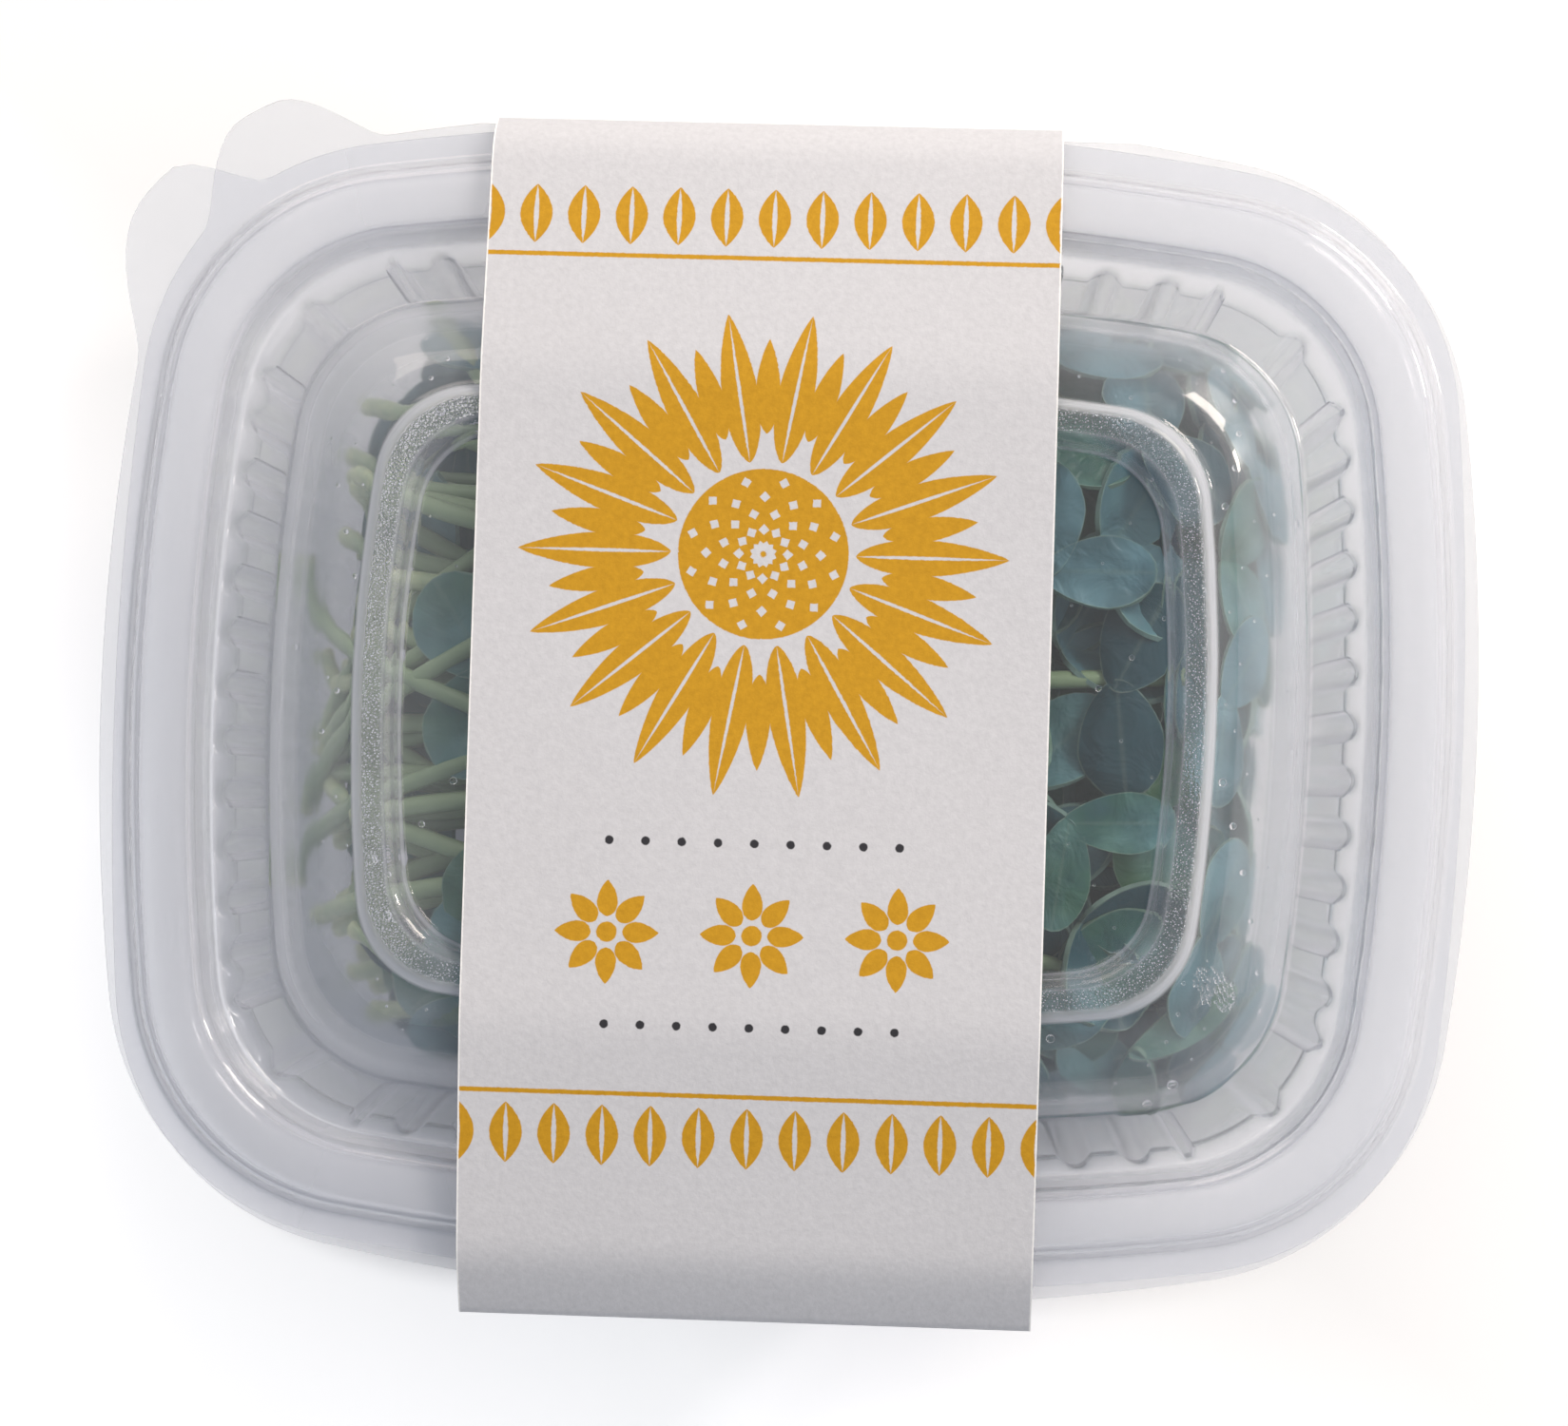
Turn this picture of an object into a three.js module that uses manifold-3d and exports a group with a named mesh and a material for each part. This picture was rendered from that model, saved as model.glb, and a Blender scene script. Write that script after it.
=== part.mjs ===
// A tray of cut sunflower microgreens: a clear thermoformed tub, its press-on lid, a card sleeve
// wrapped round both, and the shoots lying inside with all their cut ends to one side.
//
// Millimetres, +Z up. The origin is the middle of the sleeve's underside, which the tray rests
// on. +X runs from the cut ends to the leaves, and +Y to the side with the two pull tabs.

import * as THREE from "three";
import { mergeVertices } from "three/addons/utils/BufferGeometryUtils.js";
import Module from "manifold-3d";

const wasm = await Module();
wasm.setup();

// ---- Driving dimensions -------------------------------------------------------------------

// Plan curves: half sizes at the middle of the sides, how far the sides bow out, corner radius
const LID_LIP = { halfX: 72.45, halfY: 61.3, bowX: 2.05, bowY: 3.2, corner: 28.6 };
const TUB_LIP = { halfX: 71.1, halfY: 62.9, bowX: 1.4, bowY: 3.8, corner: 28.6 };

// How the bow and the corner radius fade as a plan curve is taken inwards
const BOW_X_FADE = 75;
const BOW_Y_FADE = 70;
const CORNER_FADE = 28;

const CARD = 0.4; // thickness of the sleeve
const TUB_WALL = 0.6;
const LID_WALL = 0.5;
const GAP = 0.3; // between pieces that touch
const TUB_BASE = CARD + GAP; // height of the tub's underside
const LIP_TOP = 48; // height of the top of the tub's lip
const LID_LIP_Z = LIP_TOP + GAP; // height of the underside of the lid's lip

// The sleeve's strip, and where its folds run, seen along X
const SLEEVE_WIDTH = 60;
const SLEEVE_X = -2.4;
const SLEEVE_TURN = 0.5; // degrees askew
const BACK_FOLD_Y = 61.4; // inner face, tight on the back lip
const FRONT_FOLD_Y = -65.2; // inner face, loose on the front lip
const BACK_LIP_Y = 60.5; // where the tight fold holds the bowed back lips straight
const FOLD_STEP = 0.4; // radians of bend drawn as one facet

// Flutes of the tub wall, as steps along a quarter of the plan: 0 to 1 is half a short side,
// 1 to 2 the corner and 2 to 3 half a long side
const SHORT_SIDE_STEP = 0.19;
const SHORT_SIDE_FLUTES = 6;
const LONG_SIDE_STEP = 0.153;
const LONG_SIDE_FLUTES = 7;
const FLUTE_TOP_DEPTH = 1.2;
const FLUTE_FOOT_DEPTH = 0.5;

// Pull tabs, in degrees round the back left corner's centre, and millimetres. Each spreads its
// own way towards the back and towards the side.
const TUB_TAB = { middle: 120, backSpread: 23.5, sideSpread: 23.5, reach: 6.8 };
const LID_TAB = { middle: 139.5, backSpread: 17.5, sideSpread: 33, reach: 7.3 };
const TAB_FLAT = 3; // degrees of even reach each side of the tab's middle
const TAB_ROOT = 2.3; // how far the tab runs in under the lip
const TAB_STEPS = 18; // of its outline

// Shoots, with the ranges their sizes and places are scattered over
const SHOOT_COUNT = 56;
const STEM_RADIUS = 1.05;
const LEAF_THICKNESS = 0.6;
const LEAF_FOOT = 0.6; // half the leaf's width where it joins the stem
const LEAF_LENGTH = [12, 15.6];
const LEAF_WIDTH = [7.6, 9.8];
const LEAF_OPENING = [35, 80]; // degrees from the stem's line
const LEAF_TURN = [-25, 25]; // degrees the pair is turned round the stem's end
const TIP_X = [-6, 42];
const TIP_Y = [-36, 36];
const CUT_X = [-57, -42];
const CUT_DRIFT = [-3.4, 3.4]; // how far the cut end strays to one side
const CUT_SPREAD = 0.95; // of the tip's distance from the middle line
const STEM_PINCH = 0.36; // how far the stems draw together halfway

// The heap the shoots lie in
const HEAP_FLOOR = 3; // lowest stem's middle
const HEAP_TOP = 52.3; // highest stem's middle, close under the lid's panel
const HEAP_FLAT_X = 36; // half the length and width within which the layers lie flat
const HEAP_FLAT_Y = 25;
const EDGE_ROOM_FOOT = 15.5; // farthest the lowest and highest layers reach past that
const EDGE_ROOM_TOP = 18.5;
const EDGE_SPAN = 18; // distance over which a layer bends at the edge
const EDGE_DROP = 12; // how far the highest layer bends down there
const EDGE_RISE = 4; // how far the lowest one bends up
const CUT_END_SAG = { depth: 10, from: 28, to: 58 }; // of the heap towards the cut ends

const PLASTIC = { color: 0xdfe2e6, roughness: 0.25, metalness: 0, transparent: true, opacity: 0.4 };

// ---- Plan curves and shells ---------------------------------------------------------------

// The plan curve that runs a given distance inside a lip
function inside(lip, inset) {
  return {
    halfX: lip.halfX - inset,
    halfY: lip.halfY - inset,
    bowX: lip.bowX * (1 - inset / BOW_X_FADE),
    bowY: lip.bowY * (1 - inset / BOW_Y_FADE),
    corner: lip.corner * Math.exp(-inset / CORNER_FADE),
  };
}

// A point in the first quarter of a plan curve. Its bowed sides and its corner are all drawn
// at the corner radius from a smaller figure with sharp corners, so they meet smoothly.
function quarterPoint(curve, place) {
  const cornerX = curve.halfX - curve.bowX - curve.corner;
  const cornerY = curve.halfY - curve.bowY - curve.corner;
  const base = new THREE.Vector2(cornerX, cornerY);
  const outward = new THREE.Vector2();
  if (place < 1) {
    base.set(cornerX + curve.bowX * (1 - place ** 2), cornerY * place);
    outward.set(cornerY, 2 * curve.bowX * place);
  } else if (place > 2) {
    const back = 3 - place;
    base.set(cornerX * back, cornerY + curve.bowY * (1 - back ** 2));
    outward.set(2 * curve.bowY * back, cornerX);
  } else {
    const from = Math.atan2(2 * curve.bowX, cornerY);
    const to = Math.PI / 2 - Math.atan2(2 * curve.bowY, cornerX);
    const angle = THREE.MathUtils.lerp(from, to, place - 1);
    outward.set(Math.cos(angle), Math.sin(angle));
  }
  return base.addScaledVector(outward.normalize(), curve.corner);
}

// The stations of one quarter, mirrored into a whole loop, counterclockwise from +X
function loopOf(quarter) {
  const forward = quarter.slice(0, -1);
  const backward = quarter.slice(1).reverse();
  return [
    ...forward.map((station) => ({ ...station, signX: 1, signY: 1 })),
    ...backward.map((station) => ({ ...station, signX: -1, signY: 1 })),
    ...forward.map((station) => ({ ...station, signX: -1, signY: -1 })),
    ...backward.map((station) => ({ ...station, signX: 1, signY: -1 })),
  ];
}

// One row of a shell: a plan curve at one height. The sleeve pulls the back lip straight.
function rowPoints(loop, { lip = LID_LIP, inset, z, flute = 0 }) {
  return loop.map(({ place, signX, signY, onFlute }) => {
    const curve = inside(lip, inset - (onFlute ? flute : 0));
    const point = quarterPoint(curve, place);
    const y = Math.min(signY * point.y, BACK_LIP_Y);
    return new THREE.Vector3(signX * point.x, y, z);
  });
}

// A closed skin through rows of points, from a middle point up one side of the sheet, over its
// edge and back down the other side to a second middle point
function skin(rows, startZ, endZ) {
  const count = rows[0].length;
  const points = [new THREE.Vector3(0, 0, startZ), ...rows.flat(), new THREE.Vector3(0, 0, endZ)];
  const last = points.length - 1;
  const lastRow = 1 + (rows.length - 1) * count;
  const index = [];
  for (let i = 0; i < count; i++) {
    const next = (i + 1) % count;
    index.push(0, 1 + next, 1 + i);
    for (let row = 0; row < rows.length - 1; row++) {
      const low = 1 + row * count;
      const high = low + count;
      index.push(low + i, low + next, high + next, low + i, high + next, high + i);
    }
    index.push(last, lastRow + i, lastRow + next);
  }
  const geometry = new THREE.BufferGeometry().setFromPoints(points);
  geometry.setIndex(index);
  return geometry;
}

// ---- Solids joined with manifold-3d ---------------------------------------------------------

function toSolid(geometry) {
  geometry.deleteAttribute("normal");
  geometry.deleteAttribute("uv");
  const merged = mergeVertices(geometry, 1e-4);
  return new wasm.Manifold(
    new wasm.Mesh({
      numProp: 3,
      vertProperties: new Float32Array(merged.attributes.position.array),
      triVerts: new Uint32Array(merged.index.array),
    }),
  );
}

function toGeometry(solid) {
  const mesh = solid.getMesh();
  const geometry = new THREE.BufferGeometry();
  geometry.setAttribute("position", new THREE.BufferAttribute(mesh.vertProperties, 3));
  geometry.setIndex(new THREE.BufferAttribute(mesh.triVerts, 1));
  geometry.computeVertexNormals();
  return geometry;
}

function namedMesh(name, geometry, material) {
  const mesh = new THREE.Mesh(geometry, new THREE.MeshStandardMaterial(material));
  mesh.name = name;
  return mesh;
}

// A pull tab: a rounded tongue that swells from the lip round the back left corner
function tabPlate(lip, tab, bottom, thickness) {
  const centreX = -(lip.halfX - lip.bowX - lip.corner);
  const centreY = lip.halfY - lip.bowY - lip.corner;
  const tongue = new THREE.Shape();
  const at = (degrees, radius) => {
    const angle = THREE.MathUtils.degToRad(degrees);
    return [centreX + radius * Math.cos(angle), centreY + radius * Math.sin(angle)];
  };
  const edge = (offset) => {
    const spread = offset < 0 ? tab.backSpread : tab.sideSpread;
    const rise = (spread - Math.abs(offset)) / (spread - TAB_FLAT);
    return lip.corner + tab.reach * THREE.MathUtils.smoothstep(rise, 0, 1);
  };
  const offsets = [];
  for (let step = 0; step <= TAB_STEPS; step++) {
    offsets.push(THREE.MathUtils.lerp(-tab.backSpread, tab.sideSpread, step / TAB_STEPS));
  }
  const outer = offsets.map((offset) => at(tab.middle + offset, edge(offset)));
  const root = offsets.map((offset) => at(tab.middle + offset, lip.corner - TAB_ROOT)).reverse();
  tongue.setFromPoints([...outer, ...root].map(([x, y]) => new THREE.Vector2(x, y)));
  const plate = new THREE.ExtrudeGeometry(tongue, { depth: thickness, bevelEnabled: false });
  return toSolid(plate.translate(0, 0, bottom));
}

// ---- Tub --------------------------------------------------------------------------------------

// Flutes stand at even steps along the sides, with one on each corner's diagonal. Between two
// of them the wall lies back, at one station on the sides and two on the wider corner gaps.
function tubQuarter() {
  const quarter = [];
  for (let k = 0; k <= SHORT_SIDE_FLUTES; k++) {
    quarter.push({ place: k * SHORT_SIDE_STEP, onFlute: true });
    quarter.push({ place: (k + 0.5) * SHORT_SIDE_STEP, onFlute: false });
  }
  quarter.push({ place: 1.4, onFlute: false });
  quarter.push({ place: 1.5, onFlute: true });
  quarter.push({ place: 1.6, onFlute: false });
  for (let k = LONG_SIDE_FLUTES; k >= 0; k--) {
    quarter.push({ place: 3 - (k + 0.5) * LONG_SIDE_STEP, onFlute: false });
    quarter.push({ place: 3 - k * LONG_SIDE_STEP, onFlute: true });
  }
  return quarter;
}

function makeTub() {
  const loop = loopOf(tubQuarter());
  const lipUnder = LIP_TOP - TUB_WALL;
  const outside = [
    { inset: 22, z: TUB_BASE },
    { inset: 20.4, z: TUB_BASE + 0.7 },
    { inset: 19.6, z: TUB_BASE + 3.2, flute: FLUTE_FOOT_DEPTH },
    { inset: 12.7, z: 42.4, flute: FLUTE_TOP_DEPTH },
    { inset: 9.9, z: 43.3 },
    { inset: 8.9, z: 49.1 },
    { inset: 8.5, z: 49.6 },
    { inset: 4.9, z: 49.6 },
    { inset: 3.7, z: lipUnder },
    { lip: TUB_LIP, inset: 0, z: lipUnder },
  ];
  const within = [
    { lip: TUB_LIP, inset: 0, z: LIP_TOP },
    { inset: 3.4, z: LIP_TOP },
    { inset: 4.5, z: 50.2 },
    { inset: 9, z: 50.2 },
    { inset: 9.5, z: 49.7 },
    { inset: 10.4, z: 43.9 },
    { inset: 13.3, z: 42.9, flute: FLUTE_TOP_DEPTH },
    { inset: 20.2, z: TUB_BASE + 3.5, flute: FLUTE_FOOT_DEPTH },
    { inset: 21, z: TUB_BASE + 1.2 },
    { inset: 22.3, z: TUB_BASE + TUB_WALL },
  ];
  const rows = [...outside, ...within].map((row) => rowPoints(loop, row));
  const shell = toSolid(skin(rows, TUB_BASE, TUB_BASE + TUB_WALL));
  const tab = tabPlate(TUB_LIP, TUB_TAB, lipUnder, TUB_WALL);
  return namedMesh("tub", toGeometry(shell.add(tab)), PLASTIC);
}

// ---- Lid --------------------------------------------------------------------------------------

// Heights here are above the underside of the lid's lip
function makeLid() {
  const places = [0, 0.33, 0.67, 1, 1.17, 1.33, 1.5, 1.67, 1.83, 2, 2.25, 2.5, 2.75, 3];
  const loop = loopOf(places.map((place) => ({ place })));
  const under = [
    { inset: 32.4, z: 5.2 },
    { inset: 31.5, z: 7.7 },
    { inset: 28.7, z: 7.7 },
    { inset: 28, z: 6.2 },
    { inset: 24.6, z: 5.7 },
    { inset: 21.8, z: 3.9 },
    { inset: 19.6, z: 1 },
    { inset: 17.9, z: -2.8 },
    { inset: 17.1, z: -3.2 },
    { inset: 11.4, z: -3.2 },
    { inset: 10.8, z: -2.7 },
    { inset: 10.1, z: 1.7 },
    { inset: 9.5, z: 2.2 },
    { inset: 4.3, z: 2.2 },
    { inset: 3.5, z: 1.7 },
    { inset: 2.7, z: 0 },
    { inset: 0, z: 0 },
  ];
  const over = [
    { inset: 0, z: LID_WALL },
    { inset: 2.3, z: LID_WALL },
    { inset: 3.1, z: 2.1 },
    { inset: 4.1, z: 2.7 },
    { inset: 9.7, z: 2.7 },
    { inset: 10.6, z: 2 },
    { inset: 11.3, z: -2.3 },
    { inset: 11.7, z: -2.7 },
    { inset: 16.8, z: -2.7 },
    { inset: 17.4, z: -2.3 },
    { inset: 19.1, z: 1.3 },
    { inset: 21.4, z: 4.3 },
    { inset: 24.4, z: 6.2 },
    { inset: 27.6, z: 6.7 },
    { inset: 28.2, z: 8.2 },
    { inset: 31.9, z: 8.2 },
    { inset: 32.7, z: 5.7 },
  ];
  const rows = [...under, ...over].map((row) => rowPoints(loop, row));
  const shell = toSolid(skin(rows, 5.2, 5.7));
  const tab = tabPlate(LID_LIP, LID_TAB, 0, LID_WALL);
  const lid = namedMesh("lid", toGeometry(shell.add(tab)), PLASTIC);
  lid.position.z = LID_LIP_Z;
  return lid;
}

// ---- Paper sleeve -----------------------------------------------------------------------------

// The strip's course seen along X, as the corners of its inner face and the radius of each
const SLEEVE_COURSE = [
  { y: 34.2, z: LID_LIP_Z + 8.5, radius: 6 },
  { y: 58.6, z: LID_LIP_Z + 3.4, radius: 4 },
  { y: BACK_FOLD_Y, z: LIP_TOP - 0.1, radius: 1.2 },
  { y: 43.2, z: CARD, radius: 2.4 },
  { y: -43.2, z: CARD, radius: 2.4 },
  { y: FRONT_FOLD_Y, z: LIP_TOP - 0.4, radius: 2 },
  { y: -58.6, z: LID_LIP_Z + 3.4, radius: 5 },
  { y: -34.2, z: LID_LIP_Z + 8.5, radius: 6 },
];

// The course as a closed line with rounded corners, moved out by a distance
function sleeveLine(out) {
  const corners = SLEEVE_COURSE.map(({ y, z }) => new THREE.Vector2(y, z));
  const count = corners.length;
  const line = [];
  for (let i = 0; i < count; i++) {
    const corner = corners[i];
    const arriving = corner.clone().sub(corners[(i + count - 1) % count]).normalize();
    const leaving = corners[(i + 1) % count].clone().sub(corner).normalize();
    const turn = Math.acos(arriving.dot(leaving));
    const radius = SLEEVE_COURSE[i].radius;
    const start = corner.clone().addScaledVector(arriving, -radius * Math.tan(turn / 2));
    const centre = start.clone().add(new THREE.Vector2(arriving.y, -arriving.x).multiplyScalar(radius));
    const steps = Math.max(2, Math.round(turn / FOLD_STEP));
    for (let step = 0; step <= steps; step++) {
      const spoke = start.clone().sub(centre).setLength(radius + out);
      line.push(spoke.rotateAround(new THREE.Vector2(), (-turn * step) / steps).add(centre));
    }
  }
  return line;
}

function makeSleeve() {
  const section = new THREE.Shape(sleeveLine(CARD));
  section.holes.push(new THREE.Path(sleeveLine(0).reverse()));
  const strip = new THREE.ExtrudeGeometry(section, { depth: SLEEVE_WIDTH, bevelEnabled: false });
  strip.translate(0, 0, -SLEEVE_WIDTH / 2);
  const alongX = new THREE.Matrix4().makeBasis(
    new THREE.Vector3(0, 1, 0),
    new THREE.Vector3(0, 0, 1),
    new THREE.Vector3(1, 0, 0),
  );
  strip.applyMatrix4(alongX);
  const sleeve = namedMesh("paper_sleeve", strip, { color: 0xdcd6d6, roughness: 0.8, metalness: 0 });
  sleeve.position.x = SLEEVE_X;
  sleeve.rotation.z = THREE.MathUtils.degToRad(SLEEVE_TURN);
  return sleeve;
}

// ---- Shoots -----------------------------------------------------------------------------------

// Values scattered evenly over a range, one for each shoot. Each property has a step of its
// own, so that no two of them go up and down together.
function scatter(number, step, [least, most]) {
  return THREE.MathUtils.lerp(least, most, (0.5 + number * step) % 1);
}

// The heap is a stack of smooth layers between the tub's base and the lid, and each shoot lies
// in a layer of its own, so no two shoots touch. This takes a point of a flat shoot to its
// place in the heap: drawn in from the walls, and bent with its layer.
function inHeap(x, y, layer) {
  const overX = Math.max(Math.abs(x) - HEAP_FLAT_X, 0);
  const overY = Math.max(Math.abs(y) - HEAP_FLAT_Y, 0);
  const over = Math.hypot(overX, overY);
  const room = THREE.MathUtils.lerp(EDGE_ROOM_FOOT, EDGE_ROOM_TOP, layer);
  const kept = over > 0 ? (room * Math.tanh(over / room)) / over : 1;
  const near = (kept * over) / EDGE_SPAN;
  const { depth, from, to } = CUT_END_SAG;
  const sag = depth * THREE.MathUtils.smoothstep(-x, from, to);
  const top = HEAP_TOP - EDGE_DROP * near ** 3 - sag;
  const bottom = HEAP_FLOOR + EDGE_RISE * near ** 2;
  return new THREE.Vector3(
    Math.sign(x) * (Math.abs(x) - overX + kept * overX),
    Math.sign(y) * (Math.abs(y) - overY + kept * overY),
    THREE.MathUtils.lerp(bottom, top, layer),
  );
}

// A shoot's flat plan: where its stem is cut, where it ends, and how its leaves open
function shootPlan(number) {
  const tip = new THREE.Vector2(scatter(number, 0.7549, TIP_X), scatter(number, 0.5698, TIP_Y));
  const cut = new THREE.Vector2(
    scatter(number, 0.8192, CUT_X),
    CUT_SPREAD * tip.y + scatter(number, 0.618, CUT_DRIFT),
  );
  return {
    layer: (number + 0.5) / SHOOT_COUNT,
    cut,
    middle: new THREE.Vector2((tip.x + cut.x) / 2, STEM_PINCH * (tip.y + cut.y)),
    tip,
    opening: scatter(number, 0.7071, LEAF_OPENING),
    turn: scatter(number, 0.4142, LEAF_TURN),
    leafLength: scatter(number, 0.3028, LEAF_LENGTH),
    leafWidth: scatter(number, 0.2361, LEAF_WIDTH),
  };
}

function makeStem({ cut, middle, tip, layer }) {
  const flat = new THREE.SplineCurve([cut, middle, tip]);
  const path = new THREE.CatmullRomCurve3(flat.getPoints(4).map(({ x, y }) => inHeap(x, y, layer)));
  const round = new THREE.Shape().absarc(0, 0, STEM_RADIUS, 0, 2 * Math.PI);
  const section = new THREE.Shape(round.getSpacedPoints(5).slice(0, 5));
  return toSolid(new THREE.ExtrudeGeometry(section, { steps: 4, extrudePath: path }));
}

// One seed leaf: an egg-shaped blade, wider past its middle, bent with its layer
function makeLeaf({ middle, tip, layer, turn, leafLength, leafWidth }, angle) {
  const heading = tip.clone().sub(middle).angle() + THREE.MathUtils.degToRad(turn + angle);
  const blade = new THREE.Shape();
  const [swellX, swellY] = [0.3 * leafLength, 0.6 * leafWidth];
  const endY = 0.78 * leafWidth;
  blade.moveTo(0, -LEAF_FOOT);
  blade.bezierCurveTo(swellX, -swellY, leafLength, -endY, leafLength, 0);
  blade.bezierCurveTo(leafLength, endY, swellX, swellY, 0, LEAF_FOOT);
  const plate = new THREE.ExtrudeGeometry(blade, {
    depth: LEAF_THICKNESS,
    bevelEnabled: false,
    curveSegments: 3,
  });
  const position = plate.attributes.position;
  for (let i = 0; i < position.count; i++) {
    const flat = new THREE.Vector2(position.getX(i), position.getY(i));
    flat.rotateAround(new THREE.Vector2(), heading).add(tip);
    const place = inHeap(flat.x, flat.y, layer);
    position.setXYZ(i, place.x, place.y, place.z + position.getZ(i) - LEAF_THICKNESS / 2);
  }
  return toSolid(plate);
}

function makeShoot(number) {
  const shoot = shootPlan(number);
  const left = makeLeaf(shoot, shoot.opening);
  const right = makeLeaf(shoot, -shoot.opening);
  const solid = makeStem(shoot).add(left).add(right);
  const name = `shoot_${String(number + 1).padStart(2, "0")}`;
  return namedMesh(name, toGeometry(solid), { color: 0x6f8a5a, roughness: 0.6, metalness: 0 });
}

// ---- Assembly ---------------------------------------------------------------------------------

const shoots = new THREE.Group();
for (let number = 0; number < SHOOT_COUNT; number++) {
  shoots.add(makeShoot(number));
}

const tray = new THREE.Group();
tray.add(makeTub(), makeLid(), makeSleeve(), shoots);

export default tray;
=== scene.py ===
import math

import bmesh
import bpy
from mathutils import Matrix, Vector


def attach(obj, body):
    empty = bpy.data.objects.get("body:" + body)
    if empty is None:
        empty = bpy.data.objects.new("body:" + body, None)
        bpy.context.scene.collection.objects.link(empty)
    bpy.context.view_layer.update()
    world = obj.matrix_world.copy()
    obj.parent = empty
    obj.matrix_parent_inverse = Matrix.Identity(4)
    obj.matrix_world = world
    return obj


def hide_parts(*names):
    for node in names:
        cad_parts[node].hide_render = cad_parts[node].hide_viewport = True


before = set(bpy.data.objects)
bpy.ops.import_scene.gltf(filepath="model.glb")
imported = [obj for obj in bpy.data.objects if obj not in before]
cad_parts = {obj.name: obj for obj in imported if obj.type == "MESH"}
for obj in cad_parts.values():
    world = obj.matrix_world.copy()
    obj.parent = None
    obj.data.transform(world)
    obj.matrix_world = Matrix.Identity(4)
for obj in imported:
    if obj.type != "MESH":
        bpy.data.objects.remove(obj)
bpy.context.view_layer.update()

# ---- Camera -----------------------------------------------------------------------------------
# It looks almost straight down on the lid from about half a metre, a little from the front and
# from the leaves' side. It is made first, because everything else is judged through it.

eye = Vector((0.0181, -0.0196, 0.498))
aim = Vector((-0.0001, -0.001, 0.048))
top_of_picture = Vector((-0.039, 0.999, 0))

lens = bpy.data.cameras.new("camera")
lens.sensor_width = 36
lens.lens = 98.24
camera = bpy.data.objects.new("camera", lens)
bpy.context.scene.collection.objects.link(camera)
backward = (eye - aim).normalized()
rightward = top_of_picture.cross(backward).normalized()
camera.matrix_world = Matrix.Translation(eye) @ Matrix(
    (rightward, backward.cross(rightward), backward)
).transposed().to_4x4()
bpy.context.scene.camera = camera

# ---- Tub --------------------------------------------------------------------------------------
# The tub is vacuum formed from clear polypropylene sheet: a tapered bowl with a fluted wall, a
# raised bead for the lid to snap over, and a flat lip that widens to a pull tab at one corner.
# All lengths here are in millimetres, and each finished mesh is brought to metres.

LID_LIP = {"half_x": 72.45, "half_y": 61.3, "bow_x": 2.05, "bow_y": 3.2, "corner": 28.6}
TUB_LIP = {"half_x": 71.1, "half_y": 62.9, "bow_x": 1.4, "bow_y": 3.8, "corner": 28.6}
STRAIGHT_BACK_Y = 60.5  # the tight sleeve pulls the bowed back lips straight here
TUB_TAB = {"middle": 120, "back": 23.5, "side": 23.5, "reach": 6.73}  # degrees round the corner
FLUTE_HALF_WIDTH = 1.75
SHORT_SIDE_PITCH = (0.19, 5.5)  # as a step along the quarter's places, and in millimetres
LONG_SIDE_PITCH = (0.153, 6.28)
CORNER_LENGTH = 23.7

# the sheet's lower face: inset from the lid's lip, height, depth of the flutes, and share of
# the way to the tub's own lip
TUB_SHEET = 0.45
TUB_COURSE = [
    (24, 0.7, 0, 0), (20.4, 0.7, 0, 0), (19.7, 3.9, 0.5, 0), (16.2, 23.2, 0.85, 0),
    (12.7, 42.4, 1.2, 0), (9.9, 43.3, 0, 0), (8.8, 49.7, 0, 0), (4.9, 49.7, 0, 0),
    (3.7, 47.5, 0, 0), (0, 47.5, 0, 1),
]


def plan_point(lip, inset, place):
    """A point of a bowed, round-cornered plan curve. Place runs from 0, the middle of a short
    side, over 1 and 2, the ends of the corner, to 3, the middle of a long side."""
    bow_x = lip["bow_x"] * (1 - inset / 75)
    bow_y = lip["bow_y"] * (1 - inset / 70)
    corner = lip["corner"] * math.exp(-inset / 28)
    corner_x = lip["half_x"] - inset - bow_x - corner
    corner_y = lip["half_y"] - inset - bow_y - corner
    if place < 1:
        base = Vector((corner_x + bow_x * (1 - place**2), corner_y * place))
        outward = Vector((corner_y, 2 * bow_x * place))
    elif place > 2:
        back = 3 - place
        base = Vector((corner_x * back, corner_y + bow_y * (1 - back**2)))
        outward = Vector((2 * bow_y * back, corner_x))
    else:
        start = math.atan2(2 * bow_x, corner_y)
        end = math.pi / 2 - math.atan2(2 * bow_y, corner_x)
        angle = start + (end - start) * (place - 1)
        base = Vector((corner_x, corner_y))
        outward = Vector((math.cos(angle), math.sin(angle)))
    return base + outward.normalized() * corner


def round_the_plan(short_side, corner, long_side):
    """Stations right round the plan, as a place with the signs of x and y, given how many
    steps each part of a quarter has."""
    quarter = [i / short_side for i in range(short_side)]
    quarter += [1 + i / corner for i in range(corner)]
    quarter += [2 + i / long_side for i in range(long_side)]
    there, back = quarter, [3] + quarter[:0:-1]
    signs = [(there, 1, 1), (back, -1, 1), (there, -1, -1), (back, 1, -1)]
    return [(place, x, y) for places, x, y in signs for place in places]


def soft_corners(rows, reach):
    """A course with each of its corners eased into a small curve, which starts a given length
    before the corner and ends as far after it."""
    rows = [Vector(row) for row in rows]
    eased = [rows[0]]
    for before, corner, after in zip(rows, rows[1:], rows[2:]):
        legs = []
        for end in (before, after):
            length = math.dist(corner[:2], end[:2])
            legs.append(corner.lerp(end, min(reach / length, 0.45)))
        for t in (0, 0.25, 0.5, 0.75, 1):
            eased.append(legs[0].lerp(corner, t).lerp(corner.lerp(legs[1], t), t))
    return eased + [rows[-1]]


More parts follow.
